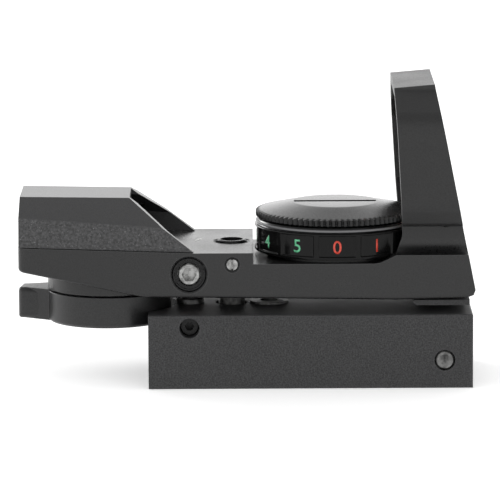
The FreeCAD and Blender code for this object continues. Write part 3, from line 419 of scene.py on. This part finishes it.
def apply_modifiers(piece):
    bpy.context.view_layer.update()
    graph = bpy.context.evaluated_depsgraph_get()
    mesh = bpy.data.meshes.new_from_object(piece.evaluated_get(graph))
    piece.modifiers.clear()
    piece.data = mesh


def carve(piece, *cutters):
    """Subtract closed cutters from a closed piece."""
    for cutter in cutters:
        fix_normals(cutter)
        tool = piece.modifiers.new("carve", "BOOLEAN")
        tool.operation = "DIFFERENCE"
        tool.solver = "EXACT"
        tool.object = cutter
    apply_modifiers(piece)
    for cutter in cutters:
        bpy.data.objects.remove(cutter)


def round_edges(piece, width, angle=25.0, segments=3):
    tool = piece.modifiers.new("round", "BEVEL")
    tool.width = width
    tool.segments = segments
    tool.limit_method = "ANGLE"
    tool.angle_limit = math.radians(angle)
    apply_modifiers(piece)


def prism(name, sections):
    """Closed solid through equal outlines, one per section."""
    count = len(sections[0])
    points = [point for section in sections for point in section]
    faces = [tuple(range(count))[::-1], tuple(range(len(points) - count, len(points)))]
    for layer in range(len(sections) - 1):
        for index in range(count):
            after = (index + 1) % count
            base = layer * count
            faces.append((base + index, base + after, base + count + after, base + count + index))
    piece = mesh_piece(name, points, faces)
    fix_normals(piece)
    return piece


def upright(name, outline, heights):
    """Prism of an outline of (x, y) between two heights."""
    return prism(name, [[(x, y, z) for x, y in outline] for z in heights])


def lengthwise(name, outline, ends):
    """Prism of an outline of (y, z) between two places along X."""
    return prism(name, [[(x, y, z) for y, z in outline] for x in ends])


def rectangle(half_x, half_y):
    return [(-half_x, -half_y), (half_x, -half_y), (half_x, half_y), (-half_x, half_y)]


def around(count):
    """Equal angles over one full turn."""
    return [math.tau * index / count for index in range(count)]


def turned_piece(name, outline, angles, place, shift=None):
    """Closed outline of (r, z) turned about a vertical axis; shift(angle, r, z) adds to a point's radius."""
    points = []
    for angle in angles:
        for radius, height in outline:
            reach = radius + (shift(angle, radius, height) if shift else 0.0)
            points.append((place.x + reach * math.sin(angle), place.y - reach * math.cos(angle), height))
    rows, columns = len(outline), len(angles)
    faces = []
    for column in range(columns):
        beside = (column + 1) % columns
        for row in range(rows):
            above = (row + 1) % rows
            here, there = column * rows, beside * rows
            faces.append((here + row, there + row, there + above, here + above))
    piece = mesh_piece(name, points, faces)
    fix_normals(piece)
    return piece


def dress(piece, slot, body, *nodes, material=None):
    """Give a piece its material, picked by its slot unless one is given, and its body, and hide the CAD nodes
    that it replaces.
    """
    piece.data.materials.clear()
    piece.data.materials.append(material or MATERIALS[slot])
    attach(piece, body)
    if nodes:
        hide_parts(*nodes)


def step_between(number, low, high):
    """0 below low, 1 above high, and a smooth rise between them."""
    share = min(1.0, max(0.0, (number - low) / (high - low)))
    return share * share * (3 - 2 * share)


# ---------------------------------------------------------------- emitter cover

COVER_SEAM_REAR = 25.6 * MM
COVER_SEAM_FRONT = COVER_LOW.z + 0.03 * MM
COVER_EDGE = 0.22 * MM
# Each outline's half widths, from its foot over its waist to its top.
SHELL_REAR = (13.3 * MM, 12.4 * MM, 6.7 * MM)
SHELL_FRONT = (13.0 * MM, 12.1 * MM, 6.3 * MM)
ROOM_REAR = (11.0 * MM, 10.6 * MM, 5.6 * MM)
ROOM_FRONT = (11.0 * MM, 10.6 * MM, 5.4 * MM)
MOUTH_REAR = (11.7 * MM, 11.2 * MM, 5.5 * MM)
MOUTH_FRONT = (11.6 * MM, 11.1 * MM, 5.3 * MM)
# The foot of everything that is cut out of the cover from below.
CUT_FOOT = COVER_SEAM_FRONT - 6 * MM
WINDOW_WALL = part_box("emitter_window")[1].x
BEYOND_COVER = 8 * MM
THROAT_FOOT = (8.7 * MM, 30 * MM)
THROAT_SHOULDER = (5.3 * MM, 32.3 * MM)
THROAT_TOP = (5.3 * MM, 35 * MM)
DRUM_ROOM_HALF = 5.6 * MM
DRUM_ROOM_TOP = 29.0 * MM
SEAT_RADIUS = 2.3 * MM
BORE_RADIUS = 1.2 * MM


def cover_outline(x, half_widths, heights):
    right = [(x, half, height) for half, height in zip(half_widths, heights)]
    left = [(x, -half, height) for half, height in zip(half_widths[::-1], heights[::-1])]
    return right + left


def cover_solid(name, rear, front):
    """Prism between two cover outlines, each given as its X, half widths and heights."""
    return prism(name, [cover_outline(*rear), cover_outline(*front)])


def make_cover():
    """Thin shell over the emitter, cut off obliquely in front, its window in the wall behind its mouth."""
    front, top = COVER_HIGH.x + 0.05 * MM, COVER_HIGH.z
    shell = cover_solid("cover_shell",
                        (COVER_LOW.x, SHELL_REAR, (COVER_SEAM_REAR, COVER_WAIST_REAR, top)),
                        (front, SHELL_FRONT, (COVER_SEAM_FRONT, COVER_WAIST_FRONT, top - 0.5 * MM)))
    mouth_x, mouth_z = -32.25 * MM, top - 0.35 * MM
    slope_foot = COVER_SEAM_FRONT + 0.02 * MM
    half = 20 * MM
    wedge = [(mouth_x, mouth_z), (front, slope_foot), (front + BEYOND_COVER, slope_foot),
             (front + BEYOND_COVER, top + BEYOND_COVER), (mouth_x, top + BEYOND_COVER)]
    mouth_cut = prism("mouth_cut", [[(x, side * half, z) for x, z in wedge] for side in (-1, 1)])
    room = cover_solid("room", (-46 * MM, ROOM_REAR, (CUT_FOOT, 29.2 * MM, 32.3 * MM)),
                       (-33.7 * MM, ROOM_FRONT, (CUT_FOOT, 28.95 * MM, 32.0 * MM)))
    mouth = cover_solid("mouth", (WINDOW_WALL, MOUTH_REAR, (CUT_FOOT, 28.35 * MM, 32.1 * MM)),
                        (-16 * MM, MOUTH_FRONT, (CUT_FOOT, 27.2 * MM, 31.5 * MM)))
    throat_half = [THROAT_FOOT, THROAT_SHOULDER, THROAT_TOP]
    throat_outline = throat_half + [(-y, z) for y, z in reversed(throat_half)]
    throat = lengthwise("throat", throat_outline, (mouth_x - 0.05 * MM, -29.7 * MM))
    drum_outline = [(-DRUM_ROOM_HALF, CUT_FOOT), (DRUM_ROOM_HALF, CUT_FOOT),
                    (DRUM_ROOM_HALF, DRUM_ROOM_TOP), (-DRUM_ROOM_HALF, DRUM_ROOM_TOP)]
    drum_room = lengthwise("drum_room", drum_outline, (-34 * MM, -31.6 * MM))
    light = centre("emitter_window")
    seat = round_hole("window_seat", SEAT_RADIUS, (-30.9 * MM, WINDOW_WALL + 0.4 * MM), light)
    bore = round_hole("light_bore", BORE_RADIUS, (-33 * MM, -30 * MM), light)
    carve(shell, mouth_cut, room, mouth, throat, drum_room, seat, bore)
    round_edges(shell, COVER_EDGE)
    smooth(shell, 5.0)
    dress(shell, "cover_metal", "sight_body", "emitter_cover")
    make_window_surround()


def round_hole(name, radius, ends, middle):
    """Cylinder along X through the given middle, for cutting."""
    outline = [(middle.y + radius * math.cos(turn), middle.z + radius * math.sin(turn))
               for turn in around(48)]
    return lengthwise(name, outline, ends)


def make_window_surround():
    """Stepped ring round the emitter's window, on the wall at the back of the cover's mouth."""
    low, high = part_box("emitter_window")
    middle = centre("emitter_window")
    inner = (high.y - low.y) / 2
    profile = [(inner + 0.05 * MM, 0.0), (inner + 0.9 * MM, 0.0), (inner + 0.9 * MM, 0.25 * MM),
               (inner + 0.7 * MM, 0.4 * MM), (inner + 0.2 * MM, 0.4 * MM), (inner + 0.05 * MM, 0.25 * MM)]
    ring = turned_piece("window_surround", profile, around(48), Vector((0, 0, 0)))
    face_forward = Matrix.Rotation(math.pi / 2, 4, "Y")
    ring.data.transform(Matrix.Translation((WINDOW_WALL - 0.02 * MM, middle.y, middle.z)) @ face_forward)
    smooth(ring)
    dress(ring, "inner_plastic", "sight_body")


# ---------------------------------------------------------------- dial and its numbers

TILE_COUNT = 12
TILE_PITCH = math.tau / TILE_COUNT
TILE_TURN = math.radians(0.5)
TILE_HALF = math.radians(13.4)
TILE_DEPTH = 0.34 * MM
TILE_EDGE = math.radians(0.7)
TILE_STOPS = (0.0, 0.25, 0.5, 0.75, 0.97)
DIAL_BORE = 11.0 * MM
CELL_BORE = 12.4 * MM
BAND_LOW = DIAL_LOW.z + 0.22 * MM
BAND_HIGH = DIAL_LOW.z + 4.15 * MM
NUMBER_HEIGHT = 2.3 * MM
NUMBER_LEVEL = DIAL_LOW.z + 2.1 * MM
INK_THICKNESS = 0.035 * MM


def tile_shift(angle, radius, height):
    """The dial's rim drops into a shallow tile between each two ribs."""
    if radius < DIAL_RADIUS - 0.01 * MM:
        return 0.0
    nearest = abs((angle - TILE_TURN + TILE_PITCH / 2) % TILE_PITCH - TILE_PITCH / 2)
    across = 1 - step_between(nearest, TILE_HALF - TILE_EDGE, TILE_HALF)
    up = step_between(height, BAND_LOW, BAND_LOW + 0.15 * MM)
    down = 1 - step_between(height, BAND_HIGH - 0.15 * MM, BAND_HIGH)
    return -TILE_DEPTH * across * up * down


def dial_angles():
    """Angles of the dial's outlines, close together at the tiles' edges and wide apart on the tiles."""
    half = [share * (TILE_HALF - TILE_EDGE) for share in TILE_STOPS]
    half += [TILE_HALF - TILE_EDGE * 0.6, TILE_HALF - TILE_EDGE * 0.3, TILE_HALF, TILE_HALF + 0.8 * TILE_EDGE]
    tile = sorted({-angle for angle in half} | set(half))
    return [TILE_TURN + index * TILE_PITCH + angle for index in range(TILE_COUNT) for angle in tile]


def make_dial():
    """Ring of numbered tiles with a skirt below, a narrower neck above and a bright hoop round the neck."""
    low, rim, top = DIAL_LOW.z, DIAL_LOW.z + 4.4 * MM, DIAL_HIGH.z
    skirt = low - 0.25 * MM
    floor = low + 0.95 * MM
    neck = DIAL_RADIUS - 0.5 * MM
    band = [BAND_LOW, BAND_LOW + 0.08 * MM, BAND_LOW + 0.16 * MM, (BAND_LOW + BAND_HIGH) / 2,
            BAND_HIGH - 0.16 * MM, BAND_HIGH - 0.08 * MM, BAND_HIGH]
    outline = [(DIAL_BORE, low), (DIAL_RADIUS - 0.3 * MM, low), (DIAL_RADIUS - 0.3 * MM, skirt),
               (DIAL_RADIUS - 0.12 * MM, skirt), (DIAL_RADIUS - 0.03 * MM, skirt + 0.08 * MM)]
    outline += [(DIAL_RADIUS, height) for height in band]
    outline += [(DIAL_RADIUS, rim - 0.12 * MM), (DIAL_RADIUS - 0.04 * MM, rim - 0.04 * MM),
                (DIAL_RADIUS - 0.12 * MM, rim), (neck + 0.06 * MM, rim), (neck, rim + 0.06 * MM),
                (neck, top - 0.1 * MM), (neck - 0.1 * MM, top), (CELL_BORE, top), (CELL_BORE, floor),
                (DIAL_BORE, floor)]
    dial = turned_piece("dial_ring", outline, dial_angles(), KNOB, tile_shift)
    smooth(dial, 50.0)
    dress(dial, "dial_plastic", "brightness_dial", "brightness_dial")
    hoop = [(neck - 0.1 * MM, rim + 0.3 * MM), (DIAL_RADIUS - 0.3 * MM, rim + 0.3 * MM),
            (DIAL_RADIUS - 0.2 * MM, rim + 0.42 * MM), (DIAL_RADIUS - 0.2 * MM, rim + 0.62 * MM),
            (DIAL_RADIUS - 0.32 * MM, rim + 0.72 * MM), (neck - 0.1 * MM, rim + 0.72 * MM)]
    ring = turned_piece("dial_collar", hoop, around(180), KNOB)
    smooth(ring)
    dress(ring, "dial_plastic", "brightness_dial", material=COLLAR_METAL)
    for index in range(TILE_COUNT):
        colour, number = divmod(index, TILE_COUNT // 2)
        make_number("%s_%d" % (("red", "green")[colour], number), str(number),
                    TILE_TURN + index * TILE_PITCH, (RED_INK, GREEN_INK)[colour])


def make_number(name, text, angle, ink):
    """A digit printed on a tile, bent round the dial and a hair proud of it."""
    curve = bpy.data.curves.new(name, "FONT")
    curve.body = text
    curve.align_x = "CENTER"
    curve.resolution_u = 6
    curve.offset = 0.006
    source = bpy.data.objects.new(name + "_flat", curve)
    bpy.context.scene.collection.objects.link(source)
    bpy.context.view_layer.update()
    graph = bpy.context.evaluated_depsgraph_get()
    mesh = bpy.data.meshes.new_from_object(source.evaluated_get(graph))
    bpy.data.objects.remove(source)
    shape = bmesh.new()
    shape.from_mesh(mesh)
    bmesh.ops.triangulate(shape, faces=shape.faces)
    tall = max(vertex.co.y for vertex in shape.verts)
    scale = NUMBER_HEIGHT / tall
    raised = bmesh.ops.extrude_face_region(shape, geom=list(shape.faces))
    for item in raised["geom"]:
        if isinstance(item, bmesh.types.BMVert):
            item.co.z = 1.0
    face_radius = DIAL_RADIUS - TILE_DEPTH
    for vertex in shape.verts:
        reach = face_radius - 0.01 * MM + (INK_THICKNESS if vertex.co.z > 0.5 else 0.0)
        turn = angle + vertex.co.x * scale / face_radius
        height = NUMBER_LEVEL + vertex.co.y * scale - NUMBER_HEIGHT / 2
        vertex.co = (KNOB.x + reach * math.sin(turn), KNOB.y - reach * math.cos(turn), height)
    bmesh.ops.recalc_face_normals(shape, faces=shape.faces)
    shape.to_mesh(mesh)
    shape.free()
    piece = bpy.data.objects.new("number_" + name, mesh)
    bpy.context.scene.collection.objects.link(piece)
    dress(piece, "dial_plastic", "brightness_dial", material=ink)


# ---------------------------------------------------------------- battery cap

SCALLOPS = 84
SCALLOP_DEPTH = 0.42 * MM
CAP_RIM_LOW = CAP_LOW.z + 1.2 * MM
CAP_RIM_HIGH = CAP_HIGH.z - 1.44 * MM
CAP_FLAT = 7.6 * MM
CAP_CORE = 11.0 * MM
CAP_CENTRE = 5.0 * MM
CONE_INSETS = (0.3, 0.6, 0.8, 1.2, 3.0, 5.0, 6.5)
SLOT_HALF_LENGTH = CAP_FLAT - 0.2 * MM
SLOT_HALF_WIDTH = 0.8 * MM
SLOT_DEPTH = 1.2 * MM


def scallop_shift(angle, radius, height):
    """Rounded grooves round the cap's rim, run out on the cone above it."""
    if height < CAP_RIM_LOW - 0.01 * MM or radius < CAP_RADIUS - 0.9 * MM:
        return 0.0
    wave = 0.5 + 0.5 * math.cos(SCALLOPS * angle)
    inward = step_between(radius, CAP_RADIUS - 0.75 * MM, CAP_RADIUS - 0.2 * MM)
    return -SCALLOP_DEPTH * wave ** 1.4 * inward


def make_cap():
    """Battery cap: a core that goes into the dial, a scalloped rim, a low cone and a coin slot."""
    low, top = CAP_LOW.z, CAP_HIGH.z
    cone = (CAP_RADIUS - CAP_FLAT) / (top - CAP_RIM_HIGH)
    outline = [(CAP_CENTRE, low), (CAP_CORE, low), (CAP_CORE, CAP_RIM_LOW),
               (CAP_RADIUS - 0.3 * MM, CAP_RIM_LOW), (CAP_RADIUS - 0.08 * MM, CAP_RIM_LOW + 0.05 * MM),
               (CAP_RADIUS, CAP_RIM_LOW + 0.2 * MM),
               (CAP_RADIUS, CAP_RIM_HIGH - 0.15 * MM), (CAP_RADIUS - 0.06 * MM, CAP_RIM_HIGH)]
    for inset in CONE_INSETS:
        outline.append((CAP_RADIUS - inset * MM, CAP_RIM_HIGH + inset * MM / cone))
    outline += [(CAP_FLAT, top - 0.01 * MM), (CAP_FLAT - 0.15 * MM, top), (3.0 * MM, top)]
    cap = turned_piece("cap_knurled", outline, around(SCALLOPS * 8), KNOB, scallop_shift)
    close_centre(cap, CAP_CENTRE)
    corners = [(KNOB.x + x, KNOB.y + y) for x, y in rectangle(SLOT_HALF_LENGTH, SLOT_HALF_WIDTH)]
    slot = upright("coin_slot", corners, (top - SLOT_DEPTH, top + 1 * MM))
    carve(cap, slot)
    smooth(cap, 40.0)
    dress(cap, "cap_metal", "battery_cap", "battery_cap")


def close_centre(piece, inner):
    """Replace the turned outline's inner wall with flat lids, top and bottom."""
    shape = bmesh.new()
    shape.from_mesh(piece.data)

    def reach(vertex):
        return math.hypot(vertex.co.x - KNOB.x, vertex.co.y - KNOB.y)

    limit = inner + 0.05 * MM
    wall = [face for face in shape.faces if all(reach(vertex) < limit for vertex in face.verts)]
    bmesh.ops.delete(shape, geom=wall, context="FACES")
    loops = [edge for edge in shape.edges if edge.is_boundary]
    bmesh.ops.holes_fill(shape, edges=loops, sides=0)
    bmesh.ops.recalc_face_normals(shape, faces=shape.faces)
    shape.to_mesh(piece.data)
    shape.free()


# ---------------------------------------------------------------- adjuster ring and marks

RING_BORE = 2.12 * MM
RING_BEVEL = 0.12 * MM
SPANNER_SLOT_HALF = 0.38 * MM
SPANNER_SLOT_DEPTH = 0.6 * MM
ARROW_LENGTH = 2.4 * MM
ARROW_SHAFT = 0.17 * MM
ARROW_HEAD = 0.62 * MM


def make_windage_ring():
    """Slotted ring round the windage screw, its two spanner slots turned from level."""
    low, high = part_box("windage_ring")
    middle = centre("windage_ring")
    outer, depth = (high.x - low.x) / 2, high.y - low.y
    outline = [(RING_BORE, 0.0), (outer, 0.0), (outer, depth - 2 * RING_BEVEL),
               (outer - RING_BEVEL, depth - RING_BEVEL / 2), (outer - 2 * RING_BEVEL, depth),
               (RING_BORE + 0.55 * MM, depth), (RING_BORE + 0.45 * MM, depth - 0.35 * MM),
               (RING_BORE, depth - 0.45 * MM)]
    ring = turned_piece("windage_slotted_ring", outline, around(72), Vector((0, 0, 0)))
    slot = upright("spanner_slot", rectangle(outer * 1.2, SPANNER_SLOT_HALF),
                   (depth - SPANNER_SLOT_DEPTH, depth + 1 * MM))
    slot.data.transform(Matrix.Rotation(math.radians(27), 4, "Z"))
    carve(ring, slot)
    face_outward = Matrix.Rotation(math.pi / 2, 4, "X")
    ring.data.transform(Matrix.Translation((middle.x, high.y, middle.z)) @ face_outward)
    smooth(ring)
    dress(ring, "black_screw", "sight_body", "windage_ring")


def make_arrow():
    """Small printed arrow beside the elevation screw, which shows the way to turn it."""
    tip, neck = ARROW_LENGTH / 2, ARROW_LENGTH / 2 - ARROW_HEAD
    outline = [(-tip, -ARROW_SHAFT), (neck, -ARROW_SHAFT), (neck, -ARROW_HEAD), (tip, 0),
               (neck, ARROW_HEAD), (neck, ARROW_SHAFT), (-tip, ARROW_SHAFT)]
    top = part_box("elevation_ring")[1].z - 0.35 * MM
    arrow = upright("turn_arrow", outline, (-0.01 * MM, 0.025 * MM))
    place = Matrix.Translation((centre("elevation_ring").x - 6.1 * MM, 1.4 * MM, top))
    arrow.data.transform(place @ Matrix.Rotation(math.radians(62), 4, "Z"))
    dress(arrow, "housing_metal", "sight_body", material=WHITE_INK)


# ---------------------------------------------------------------- stage

FLOOR_HALF = 1.6
FLOOR_LEVEL = -0.05 * MM
FLOOR_GLOW = 0.3
LAMP_PLACE = (-0.9, 0.9, 0.3)
LAMP_TARGET = (0, 0, 0.03)
LAMP_SIZE = (0.5, 0.4)
LAMP_POWER = 6.0


def make_camera():
    ahead = Vector((math.sin(CAMERA_YAW) * math.cos(CAMERA_PITCH),
                    math.cos(CAMERA_YAW) * math.cos(CAMERA_PITCH), -math.sin(CAMERA_PITCH)))
    right = Vector((math.cos(CAMERA_YAW), -math.sin(CAMERA_YAW), 0))
    above = right.cross(ahead)
    tilted_right = right * math.cos(CAMERA_ROLL) + above * math.sin(CAMERA_ROLL)
    tilted_up = tilted_right.cross(ahead)
    turn = Matrix((tilted_right, tilted_up, -ahead)).transposed().to_4x4()
    camera = bpy.data.objects.new("camera", bpy.data.cameras.new("camera"))
    bpy.context.scene.collection.objects.link(camera)
    camera.data.lens = CAMERA_LENS
    camera.data.sensor_width = CAMERA_SENSOR
    camera.data.clip_start = 0.01
    camera.data.clip_end = 20.0
    camera.matrix_world = Matrix.Translation(CAMERA_PLACE) @ turn
    bpy.context.scene.camera = camera


def make_floor():
    """White paper just under the finder, which glows a little so that it stays white."""
    corners = [(x, y, FLOOR_LEVEL) for x, y in rectangle(FLOOR_HALF, FLOOR_HALF)]
    floor = mesh_piece("floor", corners, [(0, 1, 2, 3)])
    shader = Shader("floor_white")
    paper = shader.noise(40 * MM, 2.0)
    tone = shader.mix(shader.remap(paper, 0.3, 0.7, 0.0, 1.0), (0.9, 0.9, 0.9), (0.92, 0.92, 0.92))
    shader.surface.inputs["Emission Color"].default_value = (1.0, 1.0, 1.0, 1.0)
    shader.surface.inputs["Emission Strength"].default_value = FLOOR_GLOW
    floor.data.materials.append(shader.finish(tone, 0.9))


def make_light(name, place, target, size, power):
    light = bpy.data.lights.new(name, "AREA")
    light.shape = "RECTANGLE"
    light.size, light.size_y = size
    light.energy = power
    lamp = bpy.data.objects.new(name, light)
    bpy.context.scene.collection.objects.link(lamp)
    lamp.location = place
    lamp.rotation_mode = "QUATERNION"
    lamp.rotation_quaternion = (Vector(target) - Vector(place)).to_track_quat("-Z", "Y")


def ramp(tree, source, start, end, first, last):
    """Number that runs from first to last while the source runs from start to end."""
    node = tree.nodes.new("ShaderNodeMapRange")
    for name, number in (("From Min", start), ("From Max", end), ("To Min", first), ("To Max", last)):
        socket = node.inputs[name]
        if isinstance(number, float):
            socket.default_value = number
        else:
            tree.links.new(number, socket)
    tree.links.new(source, node.inputs["Value"])
    return node.outputs["Result"]


def make_world():
    """White studio: brightest low behind the finder, bright on the camera's side, dimmer overhead."""
    world = bpy.data.worlds.new("studio")
    world.use_nodes = True
    tree = world.node_tree
    tree.nodes["Background"].inputs["Color"].default_value = (1.0, 1.0, 1.0, 1.0)
    place = tree.nodes.new("ShaderNodeTexCoord")
    split = tree.nodes.new("ShaderNodeSeparateXYZ")
    tree.links.new(place.outputs["Generated"], split.inputs[0])
    behind = ramp(tree, split.outputs["Z"], 0.24, 0.6, 2.0, 0.75)
    near = ramp(tree, split.outputs["Z"], 0.6, 0.9, 1.35, 0.75)
    strength = ramp(tree, split.outputs["Y"], -0.35, 0.35, near, behind)
    tree.links.new(strength, tree.nodes["Background"].inputs["Strength"])
    bpy.context.scene.world = world


def make_stage():
    make_camera()
    make_floor()
    make_world()
    make_light("left_box", LAMP_PLACE, LAMP_TARGET, LAMP_SIZE, LAMP_POWER)
    bpy.context.scene.view_settings.view_transform = "Standard"


paint_cad_nodes()
make_cover()
make_dial()
make_cap()
make_windage_ring()
make_arrow()
make_stage()
